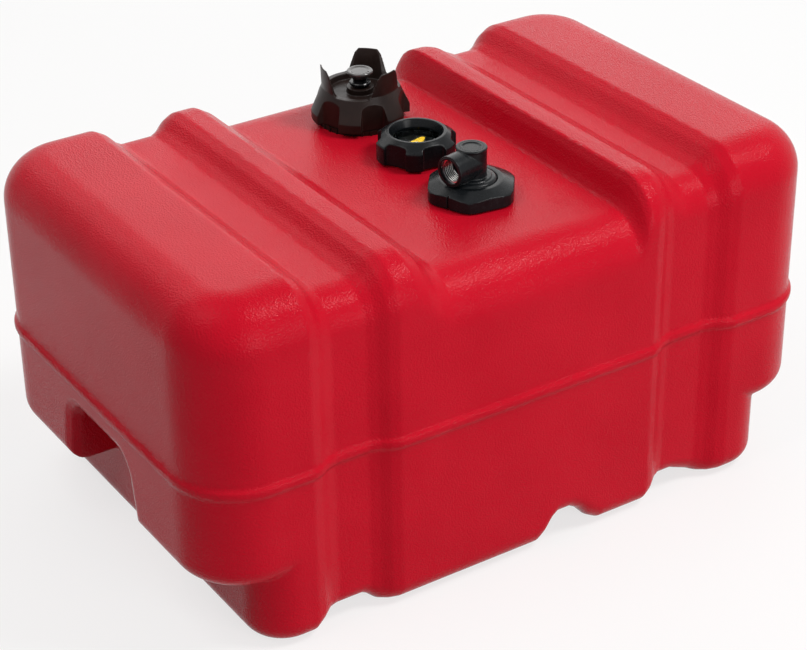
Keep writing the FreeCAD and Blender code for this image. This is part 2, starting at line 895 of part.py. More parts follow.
def tank_room():
    """The closed room inside the tank's wall."""
    end = end_form("inner_end", wall, False)
    return joined("inner_form", [
        middle_form("inner_middle", wall, inner_steps, False),
        end,
        mirrored("inner_far_end", end),
    ])


def make_tank():
    small_bore = small_neck_radius - small_neck_wall
    fill_bore = fill_neck_radius - neck_wall
    bores = joined("neck_bores", [
        tank_bore("fill_bore", fill_x, fill_y, fill_bore, fill_neck_height),
        tank_bore("gauge_bore", gauge_x, gauge_y, small_bore, gauge_neck_height),
        tank_bore("pickup_bore", pickup_x, pickup_y, small_bore, pickup_neck_height),
    ])
    node(cut("tank_shell", cut("closed_shell", tank_outside(), tank_room()), bores))


# ---------------------------------------------------------------- fill cap and vent

def at_fill(label, points, turn=zero):
    return turned_body(label, points, fill_x, fill_y, deck_height, turn)


def grip_pockets(body, floor, half, mouth_half, corner, edge):
    """Finger pockets round a cap, cut straight down through its rim."""
    drawing = new_sketch(body, "XY_Plane")
    far = edge + over
    spread = (mouth_half - half) / (edge - floor) * (far - floor)
    outline(drawing, [
        (floor, -half, corner),
        (far, -half - spread),
        (far, half + spread),
        (floor, half, corner),
    ])
    around(body, pocket(body, drawing, outward=True), grip_count)


def make_fill_neck_collar():
    bore = fill_neck_radius + seat_gap
    rim = bore + collar_width - collar_rib
    body = at_fill("fill_neck_collar", band(bore, rim, zero, collar_height))
    drawing = new_sketch(body, "XY_Plane")
    outline(drawing, [
        (rim - collar_rib, -collar_rib),
        (rim + collar_rib, -collar_rib_top),
        (rim + collar_rib, collar_rib_top),
        (rim - collar_rib, collar_rib),
    ])
    around(body, pad(body, drawing, collar_height), collar_ribs)
    node(body)


def make_fill_cap():
    bore = fill_neck_radius + running
    boss_bore = vent_stem_radius + running
    body = at_fill("fill_cap", [
        (bore, cap_foot),
        (cap_radius, cap_foot),
        (cap_radius, cap_skirt_height),
        (cap_crease_radius, cap_crease_height),
        (crown_radius, crown_height),
        (crown_radius - crown_tip_wall, crown_height),
        (cap_crease_radius - crown_root_wall, crown_floor),
        (vent_boss_radius, crown_floor),
        (vent_boss_radius, vent_boss_height),
        (boss_bore, vent_boss_height),
        (boss_bore, cap_ceiling),
        (bore, cap_ceiling),
    ], fill_turn)
    cut_crown(body)
    grip_pockets(body, cap_grip_floor, cap_grip_half, cap_grip_mouth_half, cap_grip_round, cap_radius)
    node(body)


def cut_crown(body):
    """Cuts the valleys between the crown's ears."""
    drawing = new_sketch(body, "XZ_Plane", valley_reach)
    above = crown_height + over
    outline(drawing, [
        (-valley_foot_half, valley_floor, valley_round),
        (valley_foot_half, valley_floor, valley_round),
        (valley_waist_half, valley_waist_height),
        (valley_top_half, crown_height),
        (valley_top_half, above),
        (-valley_top_half, above),
        (-valley_top_half, crown_height),
        (-valley_waist_half, valley_waist_height),
    ])
    around(body, pocket(body, drawing, outward=False), ear_count)


def make_fill_cap_gasket():
    low = fill_neck_height + seat_gap * 2
    near = fill_neck_radius - neck_wall + gasket_margin
    far = fill_neck_radius - gasket_margin
    node(at_fill("fill_cap_gasket", band(near, far, low, low + gasket_thick)))


def make_vent():
    low = vent_boss_height + seat_gap
    bore = vent_stem_radius + running
    node(at_fill("vent_seal", band(bore, vent_seal_radius, low, low + vent_seal_thick)))
    disc_top = vent_disc_foot + vent_disc_thick
    node(at_fill("vent_screw", [
        (zero, cap_ceiling + vent_stem_end),
        (vent_stem_radius, cap_ceiling + vent_stem_end),
        (vent_stem_radius, vent_disc_foot),
        *lower_bevel(vent_disc_radius, vent_disc_foot),
        *upper_bevel(vent_disc_radius, disc_top),
        (vent_neck_radius, disc_top),
        (vent_neck_radius, vent_knob_foot),
        (vent_spigot_radius, vent_knob_foot),
        (vent_spigot_radius, vent_knob_foot + vent_spigot_height),
        (zero, vent_knob_foot + vent_spigot_height),
    ]))
    top = vent_knob_foot + vent_knob_height
    socket = vent_spigot_radius + push_gap
    socket_top = vent_knob_foot + vent_spigot_height + seat_gap
    node(at_fill("vent_knob", [
        (socket, vent_knob_foot),
        (vent_knob_foot_radius, vent_knob_foot),
        (vent_knob_radius, vent_knob_foot + vent_knob_bowl),
        *upper_bevel(vent_knob_radius, top),
        (vent_knob_radius - vent_knob_rim, top),
        (vent_knob_radius - vent_knob_rim * 2, top - vent_knob_dish),
        (zero, top - vent_knob_dish),
        (zero, socket_top),
        (socket, socket_top),
    ]))


# ---------------------------------------------------------------- level gauge

def at_gauge(label, points, turn=zero):
    return turned_body(label, points, gauge_x, gauge_y, deck_height, turn)


def make_gauge_gasket():
    node(neck_gasket("gauge_gasket", gauge_x, gauge_y, gauge_neck_height))


def neck_gasket(label, x, y, neck_height):
    low = neck_height + seat_gap * 2
    near = small_neck_radius - small_neck_wall + gasket_margin
    profile = band(near, flange_radius, low, low + small_gasket_thick)
    return turned_body(label, profile, x, y, deck_height)


def make_gauge_ring_nut():
    bore = small_neck_radius + running
    outer = bore + ring_wall
    lip = gauge_top + seat_gap
    body = at_gauge("gauge_ring_nut", [
        (bore, ring_foot),
        *lower_bevel(outer, ring_foot),
        (outer, ring_shoulder, ring_shoulder_round),
        (ring_crest_radius + ring_crest_width, ring_crest_height),
        (ring_crest_radius - ring_crest_width / 2, ring_crest_height),
        (ring_lip_radius, lip + ring_lip_thick),
        (ring_lip_radius, lip),
        (bore, lip),
    ], gauge_turn)
    grip_pockets(body, ring_grip_floor, ring_grip_half, ring_grip_mouth_half, ring_grip_round, outer)
    node(body)


def make_gauge_body():
    recess = lens_radius + push_gap
    well = lens_radius - lens_ledge
    pin = pin_radius + push_gap
    pin_floor = well_floor - pin_depth
    body = at_gauge("gauge_body", [
        (zero, well_underside),
        (boss_inner_radius, well_underside),
        (boss_inner_radius, -boss_depth),
        (boss_outer_radius, -boss_depth),
        (boss_outer_radius, well_underside),
        (plug_outer, well_underside),
        (plug_outer, gauge_flange),
        (flange_radius, gauge_flange),
        (flange_radius, gauge_top),
        (recess, gauge_top),
        (recess, lens_foot),
        (well, lens_foot),
        (well, well_floor),
        (pin, well_floor),
        (pin, pin_floor),
        (zero, pin_floor),
    ])
    drawing = new_sketch(body, "XY_Plane", -boss_depth)
    ring(drawing, rod_radius + push_gap, rod_spacing, zero)
    ring(drawing, rod_radius + push_gap, -rod_spacing, zero)
    pocket(body, drawing, rod_socket, outward=True)
    node(body)


def make_gauge_lens():
    node(at_gauge("gauge_lens", band(zero, lens_radius, lens_foot + seat_gap, gauge_top)))


def make_gauge_dial():
    rim = lens_radius - lens_ledge - loose_gap / 2
    node(at_gauge("gauge_dial", band(dial_hole_radius, rim, well_floor, well_floor + dial_thick)))


def make_pointer():
    """The pointer, the magnet under it that follows the drive magnet, and their pin."""
    bore = pin_radius + running
    magnet_top = magnet_foot + follower_thick
    node(at_gauge("follower_magnet", band(bore, follower_radius, magnet_foot, magnet_top)))
    body = new_body("gauge_pointer", gauge_x, gauge_y, deck_height, pointer_turn)
    drawing = new_sketch(body, "XY_Plane", pointer_foot)
    lean = math.asin((pointer_hub_radius.value - pointer_tip_radius.value) / pointer_span().value)
    teardrop(drawing, lean)
    pad(body, drawing, pointer_thick)
    hole = new_sketch(body, "XY_Plane", pointer_foot)
    ring(hole, bore)
    pocket(body, hole, outward=True)
    node(body)
    low = well_floor - pin_depth
    node(at_gauge("pointer_pin", [
        (zero, low),
        (pin_radius, low),
        (pin_radius, pin_top),
        (pin_head_radius, pin_top),
        (pin_head_radius, pin_top + pin_head_thick),
        (zero, pin_top + pin_head_thick),
    ]))


def pointer_span():
    """From the pointer's axis to the centre of its tip's round end."""
    return pointer_reach - pointer_tip_radius


def teardrop(drawing, lean):
    """A round hub running out to a small round tip, drawn as a rounded triangle."""
    slope = math.tan(lean)
    tip_half = pointer_tip_radius * (1 / math.cos(lean) - slope)
    back_half = tip_half + (pointer_reach + pointer_hub_radius) * slope
    outline(drawing, [
        (-pointer_hub_radius, -back_half, pointer_hub_round),
        (pointer_reach, -tip_half, pointer_tip_round),
        (pointer_reach, tip_half, pointer_tip_round),
        (-pointer_hub_radius, back_half, pointer_hub_round),
    ])


def make_drive():
    """The twisted strip that the float turns, its magnet and its bush."""
    bore = spindle_radius + running
    high = bush_foot + bush_thick
    rim = boss_inner_radius - push_gap
    node(at_gauge("shaft_bush", band(bore, rim, bush_foot, high)))
    hole = spindle_radius + push_gap
    top = drive_magnet_foot + drive_magnet_thick
    node(at_gauge("drive_magnet", band(hole, drive_magnet_radius, drive_magnet_foot, top)))
    node(twisted_strip("twist_strip", high + seat_gap, top))


def twisted_strip(label, collar, top):
    """A flat strip twisted evenly, with the spindle that carries the magnet."""
    body = new_body(label, gauge_x, gauge_y, deck_height)
    sweep = strip_sweep.value * strip_length.value / float_travel.value
    drawings = []
    for step in range(strip_steps + 1):
        share = step / strip_steps
        drawing = new_sketch(body, "XY_Plane", strip_foot + strip_length * share)
        bar(drawing, math.radians(sweep * share))
        drawings.append(drawing)
    loft = body.newObject("PartDesign::AdditiveLoft", f"{label}_loft")
    loft.Profile = drawings[0]
    loft.Sections = drawings[1:]
    loft.Ruled = True
    turned(body, [
        (zero, strip_top),
        (spindle_radius, strip_top),
        (spindle_radius, collar),
        (spindle_collar_radius, collar),
        (spindle_collar_radius, collar + spindle_collar_thick),
        (spindle_radius, collar + spindle_collar_thick),
        (spindle_radius, top),
        (zero, top),
    ])
    return body


def bar(drawing, angle):
    """The strip's flat section, turned by an angle."""
    along = (math.cos(angle), math.sin(angle))
    across = (-along[1], along[0])
    points = []
    for end, side in ((-1, -1), (1, -1), (1, 1), (-1, 1)):
        x = strip_width * (end * along[0] / 2) + strip_thick * (side * across[0] / 2)
        y = strip_width * (end * along[1] / 2) + strip_thick * (side * across[1] / 2)
        points.append((x, y))
    outline(drawing, points)


def make_guide():
    """The two rods that keep the float from turning, and the plate at their foot."""
    rods = []
    length = bush_foot + rod_socket - rod_foot
    for label, side in (("guide_rod_left", -1), ("guide_rod_right", 1)):
        x = gauge_x + rod_spacing * side
        rods.append(cylinder(label, rod_radius, length, x, gauge_y, deck_height + rod_foot))
    pair = doc.addObject("Part::Compound", "guide_rods")
    pair.Links = rods
    node(pair)
    body = new_body("guide_foot", gauge_x, gauge_y, foot_plate_height)
    drawing = new_sketch(body, "XY_Plane")
    outline(drawing, [
        (-foot_plate_half_length, -foot_plate_half_width),
        (foot_plate_half_length, -foot_plate_half_width),
        (foot_plate_half_length, foot_plate_half_width),
        (-foot_plate_half_length, foot_plate_half_width),
    ])
    pad(body, drawing, foot_plate_thick)
    node(body)


def make_float():
    ledge = float_foot + float_height - insert_thick
    high = float_foot + float_height
    seat = insert_radius + push_gap
    body = at_gauge("gauge_float", [
        (float_bore_radius, float_foot),
        *lower_bevel(float_radius, float_foot),
        *upper_bevel(float_radius, high),
        (seat, high),
        (seat, ledge),
        (float_bore_radius, ledge),
    ])
    drawing = new_sketch(body, "XY_Plane", float_foot)
    ring(drawing, rod_radius + loose_gap, rod_spacing, zero)
    ring(drawing, rod_radius + loose_gap, -rod_spacing, zero)
    pocket(body, drawing, outward=True)
    node(body)
    turn = Size(insert_angle(ledge + insert_thick / 2))
    insert = at_gauge("float_insert", band(zero, insert_radius, ledge, high), turn)
    drawing = new_sketch(insert, "XY_Plane", ledge)
    half = strip_width / 2 + loose_gap
    thick = strip_thick / 2 + loose_gap
    outline(drawing, [(-half, -thick), (half, -thick), (half, thick), (-half, thick)])
    pocket(insert, drawing, outward=True)
    node(insert)


def insert_angle(height):
    """How far the strip has turned at a height."""
    return strip_sweep.value * (height.value - strip_foot.value) / float_travel.value


# ---------------------------------------------------------------- fuel pickup

def at_pickup(label, points, turn=zero):
    return turned_body(label, points, pickup_x, pickup_y, deck_height, turn)


def make_pickup_nut():
    body = new_body("pickup_nut", pickup_x, pickup_y, deck_height, pickup_nut_turn)
    drawing = new_sketch(body, "XY_Plane", nut_foot)
    sides = int(nut_sides.value)
    points = []
    for number in range(sides):
        angle = 2 * math.pi * number / sides
        x = nut_corner_radius * math.cos(angle)
        y = nut_corner_radius * math.sin(angle)
        points.append((x, y, nut_corner_round))
    outline(drawing, points)
    pad(body, drawing, nut_height - nut_foot)
    far = nut_corner_radius + over
    drop = (nut_height - nut_edge_height) / (nut_corner_radius - nut_top_radius)
    groove(body, [
        (nut_top_radius, nut_height),
        (far, nut_height - drop * (far - nut_top_radius)),
        (far, nut_height + over),
        (nut_top_radius, nut_height + over),
    ])
    bore = small_neck_radius + running
    ceiling = pickup_flange_top + seat_gap
    groove(body, [
        (zero, nut_foot - over),
        (bore, nut_foot - over),
        (bore, ceiling),
        (nut_hole_radius, ceiling),
        (nut_hole_radius, nut_height + over),
        (zero, nut_height + over),
    ])
    cut_index_slot(body)
    node(body)


def cut_index_slot(body):
    """A narrow upright slot in the middle of one face."""
    flat = nut_corner_radius * math.cos(math.pi / nut_sides.value)
    middle = math.radians(nut_slot_turn.value)
    along = (math.cos(middle), math.sin(middle))
    drawing = new_sketch(body, "XY_Plane", nut_foot)
    points = []
    for reach, side in ((-nut_slot_depth, -1), (sized(over), -1), (sized(over), 1), (-nut_slot_depth, 1)):
        out = flat + reach
        x = out * along[0] - nut_slot_half * (side * along[1])
        y = out * along[1] + nut_slot_half * (side * along[0])
        points.append((x, y))
    outline(drawing, points)
    pocket(body, drawing, outward=True)


def make_pickup_head():
    body = at_pickup("pickup_head", [
        (zero, tube_socket_end),
        (tube_socket_radius, tube_socket_end),
        (tube_socket_radius, pickup_flange - spigot_depth),
        (spigot_radius, pickup_flange - spigot_depth),
        (spigot_radius, pickup_flange),
        (flange_radius, pickup_flange),
        (flange_radius, pickup_flange_top),
        (dome_radius, pickup_flange_top),
        (dome_radius, dome_height, dome_round),
        (ring_step_radius, dome_height),
        (ring_step_radius, ring_step_height),
        (turret_radius, ring_step_height),
        (turret_radius, turret_height - turret_lip_height),
        (turret_radius + turret_lip, turret_height - turret_lip_height),
        *upper_bevel(turret_radius + turret_lip, turret_height),
        (zero, turret_height),
    ], port_turn)
    bore_pickup_head(body)
    node(body)


def bore_pickup_head(body):
    """Adds the side port, then the ways through it."""
    drawing = new_sketch(body, "YZ_Plane", -port_reach)
    ring(drawing, port_radius, zero, port_height)
    pad(body, drawing, port_reach)
    mouth = new_sketch(body, "YZ_Plane", -port_reach)
    ring(mouth, insert_sleeve_radius + push_gap, zero, port_height)
    pocket(body, mouth, port_bore_length, outward=True)
    cross = new_sketch(body, "YZ_Plane", -port_reach)
    ring(cross, tube_radius, zero, port_height)
    pocket(body, cross, port_reach, outward=True)
    down = new_sketch(body, "XY_Plane", tube_socket_end)
    ring(down, passage_radius)
    pocket(body, down, turret_height - plug_thick - tube_socket_end, outward=True)
    socket = new_sketch(body, "XY_Plane", tube_socket_end)
    ring(socket, tube_radius + push_gap)
    pocket(body, socket, tube_socket_depth, outward=True)
    top = new_sketch(body, "XY_Plane", turret_height)
    ring(top, plug_radius + push_gap)
    pocket(body, top, plug_thick)


def make_port_insert():
    body = new_body("port_insert", pickup_x, pickup_y, deck_height, port_turn)
    drawing = new_sketch(body, "YZ_Plane", -port_reach)
    ring(drawing, insert_sleeve_radius, zero, port_height)
    ring(drawing, port_bore_radius, zero, port_height)
    pad(body, drawing, port_bore_length)
    node(body)


def make_turret_plug():
    low = turret_height - plug_thick
    node(at_pickup("turret_plug", [
        (zero, low),
        (plug_radius, low),
        (plug_radius, turret_height),
        (plug_radius - plug_rim, turret_height),
        (plug_radius - plug_rim * 2, turret_height - plug_dish),
        (zero, turret_height - plug_dish),
    ]))


def make_dip_tube():
    low = tube_foot_height - deck_height
    high = tube_socket_end + tube_socket_depth
    bore = tube_radius - tube_wall
    node(at_pickup("dip_tube", band(bore, tube_radius, low, high)))
    make_filter()


def make_filter():
    """The cup with windows on the tube's foot, and the screen inside it."""
    foot = cup_foot_height - deck_height
    top = foot + cup_height
    inner = cup_radius - cup_wall
    hole = tube_radius + push_gap
    body = at_pickup("filter_cup", [
        (zero, foot),
        (cup_radius, foot),
        *upper_bevel(cup_radius, top),
        (hole, top),
        (hole, top - cup_wall * 2),
        (inner, top - cup_wall * 2),
        (inner, foot + cup_wall),
        (zero, foot + cup_wall),
    ])
    drawing = new_sketch(body, "YZ_Plane", zero)
    low = foot + cup_wall * 2
    high = top - cup_wall * 4
    outline(drawing, [
        (-cup_window_half, low),
        (cup_window_half, low),
        (cup_window_half, high),
        (-cup_window_half, high),
    ])
    around(body, pocket(body, drawing, outward=True), cup_windows)
    node(body)
    rim = inner - push_gap
    profile = band(rim - screen_wall, rim, foot + cup_wall, top - cup_wall * 2)
    node(at_pickup("filter_screen", profile))


# ---------------------------------------------------------------- build, check and write

def check_document():
    """Stops when an object failed or a sub-part is empty or broken."""
    for thing in doc.Objects:
        if "Invalid" in thing.State or "Error" in thing.State:
            raise ValueError(f"{thing.Name} failed: {thing.State}")
    for thing in nodes:
        if thing.Shape.isNull() or not thing.Shape.isValid():
            raise ValueError(f"{thing.Label} has no valid shape")


def write_parts():
    os.makedirs("parts", exist_ok=True)
    for thing in nodes:
        thing.Shape.exportStep(f"parts/{thing.Label}.step")
        print(f"{thing.Label}: {len(thing.Shape.Solids)} solid, {thing.Shape.Volume:.0f} mm3")


make_tank()
make_fill_neck_collar()
make_fill_cap()
make_fill_cap_gasket()
make_vent()
make_gauge_gasket()
make_gauge_ring_nut()
make_gauge_body()
make_gauge_lens()
make_gauge_dial()
make_pointer()
make_drive()
make_guide()
make_float()
node(neck_gasket("pickup_gasket", pickup_x, pickup_y, pickup_neck_height))
make_pickup_nut()
make_pickup_head()
make_port_insert()
make_turret_plug()
make_dip_tube()
doc.recompute()
check_document()
write_parts()
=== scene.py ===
import math

import bmesh
import bpy
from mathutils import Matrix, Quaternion, Vector


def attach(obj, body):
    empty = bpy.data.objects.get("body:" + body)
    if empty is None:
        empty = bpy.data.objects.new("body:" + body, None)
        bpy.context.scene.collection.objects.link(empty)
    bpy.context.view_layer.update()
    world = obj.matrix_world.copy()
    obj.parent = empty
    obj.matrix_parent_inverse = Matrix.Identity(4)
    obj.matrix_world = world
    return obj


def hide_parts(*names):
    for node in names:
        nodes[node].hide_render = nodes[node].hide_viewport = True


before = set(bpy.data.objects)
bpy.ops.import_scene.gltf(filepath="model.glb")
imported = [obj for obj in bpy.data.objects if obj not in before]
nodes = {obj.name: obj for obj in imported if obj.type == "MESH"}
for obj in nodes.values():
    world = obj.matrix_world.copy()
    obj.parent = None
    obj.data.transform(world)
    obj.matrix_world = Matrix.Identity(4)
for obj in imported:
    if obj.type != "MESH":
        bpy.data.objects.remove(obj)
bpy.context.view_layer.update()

mm = 0.001
print("frame loaded:", len(nodes), "nodes")


# camera

cameraSet = {
    "turn": -32.77,        # degrees round the tank
    "lift": 29.79,
    "roll": -0.76,
    "distance": 1.86712,
    "target": (-0.00282, 0.0, 0.12717),
    "sensor": 36.0,
    "focal": 98.165,
}


def makeCamera(s):
    turn = math.radians(s["turn"])
    lift = math.radians(s["lift"])
    level = math.cos(lift)
    back = Vector((math.sin(turn) * level, -math.cos(turn) * level, math.sin(lift)))
    data = bpy.data.cameras.new("camera")
    data.sensor_width = s["sensor"]
    data.lens = s["focal"]
    camera = bpy.data.objects.new("camera", data)
    camera.location = Vector(s["target"]) + back * s["distance"]
    aim = back.to_track_quat("Z", "Y")
    roll = Quaternion((0, 0, 1), math.radians(s["roll"]))
    camera.rotation_mode = "QUATERNION"
    camera.rotation_quaternion = aim @ roll
    bpy.context.scene.collection.objects.link(camera)
    bpy.context.scene.camera = camera
    print("camera set")


makeCamera(cameraSet)


# light, world and floor

lightSet = {
    "worldColour": (1.0, 0.985, 0.97),
    "worldStrength": 0.28,
    "lamps": [
        # name, place, size, watts, colour
        ("topLamp", (-0.95, 0.05, 1.60), 0.9, 7.0, (1.0, 0.985, 0.965)),
        ("backLamp", (1.15, 1.50, 1.25), 1.8, 12.0, (1.0, 0.99, 0.98)),
        ("cornerLamp", (-0.35, 1.30, 1.40), 0.8, 4.0, (1.0, 0.99, 0.98)),
        ("frontLamp", (0.15, -1.90, 0.60), 0.9, 14.5, (1.0, 0.99, 0.98)),
        ("keyLamp", (1.30, -1.15, 2.55), 0.80, 44.0, (1.0, 0.99, 0.98)),
    ],
    "lampAim": (0.0, 0.0, 0.15),
    "floorColour": (0.42, 0.42, 0.42),    # as the lamps bounce off it
    "floorPale": (0.90, 0.90, 0.90),      # as it is seen
    "floorSize": 12.0,
    "floorWhite": 0.72,                   # share of plain white in what is seen
    "floorDrop": 0.5 * mm,
}


def addLamp(name, place, size, watts, colour, aim):
    data = bpy.data.lights.new(name, "AREA")
    data.shape = "SQUARE"
    data.size = size
    data.energy = watts
    data.color = colour
    lamp = bpy.data.objects.new(name, data)
    lamp.location = place
    back = Vector(place) - Vector(aim)
    lamp.rotation_euler = back.to_track_quat("Z", "Y").to_euler()
    bpy.context.scene.collection.objects.link(lamp)


def seenRays(tree):
    path = tree.nodes.new("ShaderNodeLightPath")
    total = path.outputs["Is Camera Ray"]
    for other in ("Is Glossy Ray", "Is Transmission Ray"):
        either = tree.nodes.new("ShaderNodeMath")
        either.operation = "MAXIMUM"
        tree.links.new(total, either.inputs[0])
        tree.links.new(path.outputs[other], either.inputs[1])
        total = either.outputs[0]
    return total


def makeWorld(s):
    world = bpy.data.worlds.new("studio")
    bpy.context.scene.world = world
    world.use_nodes = True
    tree = world.node_tree
    tree.nodes.clear()
    out = tree.nodes.new("ShaderNodeOutputWorld")
    room = tree.nodes.new("ShaderNodeBackground")
    room.inputs["Color"].default_value = (*s["worldColour"], 1)
    room.inputs["Strength"].default_value = s["worldStrength"]
    white = tree.nodes.new("ShaderNodeBackground")
    white.inputs["Color"].default_value = (1, 1, 1, 1)
    white.inputs["Strength"].default_value = 1.0
    mix = tree.nodes.new("ShaderNodeMixShader")
    tree.links.new(seenRays(tree), mix.inputs[0])
    tree.links.new(room.outputs[0], mix.inputs[1])
    tree.links.new(white.outputs[0], mix.inputs[2])
    tree.links.new(mix.outputs[0], out.inputs["Surface"])


def makeFloor(s):
    half = s["floorSize"] / 2
    mesh = bpy.data.meshes.new("floor")
    corners = [(-half, -half, 0), (half, -half, 0), (half, half, 0), (-half, half, 0)]
    mesh.from_pydata(corners, [], [(0, 1, 2, 3)])
    floor = bpy.data.objects.new("floor", mesh)
    floor.location.z = -s["floorDrop"]
    bpy.context.scene.collection.objects.link(floor)
    material = bpy.data.materials.new("floorPaint")
    material.use_nodes = True
    tree = material.node_tree
    tree.nodes.clear()
    out = tree.nodes.new("ShaderNodeOutputMaterial")
    matt = tree.nodes.new("ShaderNodeBsdfDiffuse")
    matt.inputs["Color"].default_value = (*s["floorColour"], 1)
    pale = tree.nodes.new("ShaderNodeBsdfDiffuse")
    pale.inputs["Color"].default_value = (*s["floorPale"], 1)
    glow = tree.nodes.new("ShaderNodeEmission")
    glow.inputs["Color"].default_value = (1, 1, 1, 1)
    white = tree.nodes.new("ShaderNodeMixShader")
    white.inputs[0].default_value = s["floorWhite"]
    tree.links.new(pale.outputs[0], white.inputs[1])
    tree.links.new(glow.outputs[0], white.inputs[2])
    mix = tree.nodes.new("ShaderNodeMixShader")
    tree.links.new(seenRays(tree), mix.inputs[0])
    tree.links.new(matt.outputs[0], mix.inputs[1])
    tree.links.new(white.outputs[0], mix.inputs[2])
    tree.links.new(mix.outputs[0], out.inputs["Surface"])
    mesh.materials.append(material)


makeWorld(lightSet)
makeFloor(lightSet)
for lampValues in lightSet["lamps"]:
    addLamp(*lampValues, lightSet["lampAim"])
bpy.context.scene.view_settings.view_transform = "Standard"
print("light and floor set")


# finishes

def newMaterial(name):
    material = bpy.data.materials.new(name)
    material.use_nodes = True
    tree = material.node_tree
    shader = tree.nodes["Principled BSDF"]
    place = tree.nodes.new("ShaderNodeTexCoord")
    return material, tree, shader, place.outputs["Object"]


def addNoise(tree, place, scale, detail=3.0, rough=0.5, stretch=None):
    if stretch:
        mapping = tree.nodes.new("ShaderNodeMapping")
        mapping.inputs["Scale"].default_value = stretch
        tree.links.new(place, mapping.inputs["Vector"])
        place = mapping.outputs["Vector"]
    node = tree.nodes.new("ShaderNodeTexNoise")
    node.inputs["Scale"].default_value = scale
    node.inputs["Detail"].default_value = detail
    node.inputs["Roughness"].default_value = rough
    tree.links.new(place, node.inputs["Vector"])
    return node.outputs["Fac"]


def addCells(tree, place, scale, smooth=0.6):
    node = tree.nodes.new("ShaderNodeTexVoronoi")
    node.feature = "SMOOTH_F1"
    node.inputs["Scale"].default_value = scale
    node.inputs["Smoothness"].default_value = smooth
    tree.links.new(place, node.inputs["Vector"])
    return node.outputs["Distance"]


def spread(tree, value, low, high, toLow, toHigh):
    node = tree.nodes.new("ShaderNodeMapRange")
    node.inputs["From Min"].default_value = low
    node.inputs["From Max"].default_value = high
    node.inputs["To Min"].default_value = toLow
    node.inputs["To Max"].default_value = toHigh
    tree.links.new(value, node.inputs["Value"])
    return node.outputs["Result"]


def tint(tree, value, dark, light):
    node = tree.nodes.new("ShaderNodeMix")
    node.data_type = "RGBA"
    node.inputs[6].default_value = (*dark, 1)
    node.inputs[7].default_value = (*light, 1)
    tree.links.new(value, node.inputs[0])
    return node.outputs[2]


def addSum(tree, first, second, share):
    node = tree.nodes.new("ShaderNodeMath")
    node.operation = "MULTIPLY_ADD"
    node.inputs[1].default_value = share
    tree.links.new(second, node.inputs[0])
    tree.links.new(first, node.inputs[2])
    return node.outputs[0]


def addBump(tree, shader, height, strength, depth):
    node = tree.nodes.new("ShaderNodeBump")
    node.inputs["Strength"].default_value = strength
    node.inputs["Distance"].default_value = depth
    tree.links.new(height, node.inputs["Height"])
    tree.links.new(node.outputs["Normal"], shader.inputs["Normal"])


redSet = {
    "dark": (0.500, 0.0040, 0.0165),
    "light": (0.545, 0.0065, 0.0205),
    "cloud": 14.0,
    "wear": 90.0,
    "roughLow": 0.15,
    "roughHigh": 0.22,
    "grain": 680.0,
    "fineGrain": 1400.0,
    "fineShare": 0.08,
    "grainDepth": 0.00032,
    "grainStrength": 1.0,
    "shine": 0.070,
    "shineTint": (1.0, 0.72, 0.78),
}


def tankRed(s):
    material, tree, shader, place = newMaterial("tankRed")
    cloud = spread(tree, addNoise(tree, place, s["cloud"], 4.0), 0.3, 0.7, 0, 1)
    tree.links.new(tint(tree, cloud, s["dark"], s["light"]), shader.inputs["Base Color"])
    grain = addCells(tree, place, s["grain"])
    fine = addNoise(tree, place, s["fineGrain"], 2.0)
    height = addSum(tree, grain, fine, s["fineShare"])
    addBump(tree, shader, height, s["grainStrength"], s["grainDepth"])
    wear = addNoise(tree, place, s["wear"], 3.0)
    rough = spread(tree, wear, 0.3, 0.7, s["roughLow"], s["roughHigh"])
    tree.links.new(rough, shader.inputs["Roughness"])
    shader.inputs["Specular IOR Level"].default_value = s["shine"]
    shader.inputs["Specular Tint"].default_value = (*s["shineTint"], 1)
    return material


plasticGrain = {
    "cloud": 60.0,
    "wear": 240.0,
    "bump": 0.4,
    "smoother": 0.05,
    "rougher": 0.07,
}


def mouldedPlastic(name, dark, light, rough, grain=900.0, depth=0.00008, shine=0.5):
    s = plasticGrain
    material, tree, shader, place = newMaterial(name)
    cloud = spread(tree, addNoise(tree, place, s["cloud"], 4.0), 0.3, 0.7, 0, 1)
    tree.links.new(tint(tree, cloud, dark, light), shader.inputs["Base Color"])
    fine = addNoise(tree, place, grain, 3.0)
    addBump(tree, shader, fine, s["bump"], depth)
    wear = addNoise(tree, place, s["wear"], 3.0)
    worn = spread(tree, wear, 0.3, 0.7, rough - s["smoother"], rough + s["rougher"])
    tree.links.new(worn, shader.inputs["Roughness"])
    shader.inputs["Specular IOR Level"].default_value = shine
    return material


metalGrain = {
    "lines": 700.0,
    "darker": 0.82,
    "rougher": 0.14,
    "bump": 0.15,
    "depth": 0.00003,
}


def bareMetal(name, colour, rough, stretch):
    s = metalGrain
    material, tree, shader, place = newMaterial(name)
    shader.inputs["Metallic"].default_value = 1.0
    lines = addNoise(tree, place, s["lines"], 2.0, 0.5, stretch)
    darker = tuple(value * s["darker"] for value in colour)
    tree.links.new(tint(tree, lines, darker, colour), shader.inputs["Base Color"])
    brushed = spread(tree, lines, 0.3, 0.7, rough, rough + s["rougher"])
    tree.links.new(brushed, shader.inputs["Roughness"])
    addBump(tree, shader, lines, s["bump"], s["depth"])
    return material


windowSet = {
    "colour": (0.93, 0.96, 0.95),
    "bend": 1.02,          # low, so that the thin window doesn't bend what lies under it
    "film": 120.0,
    "roughLow": 0.02,
    "roughHigh": 0.06,
}


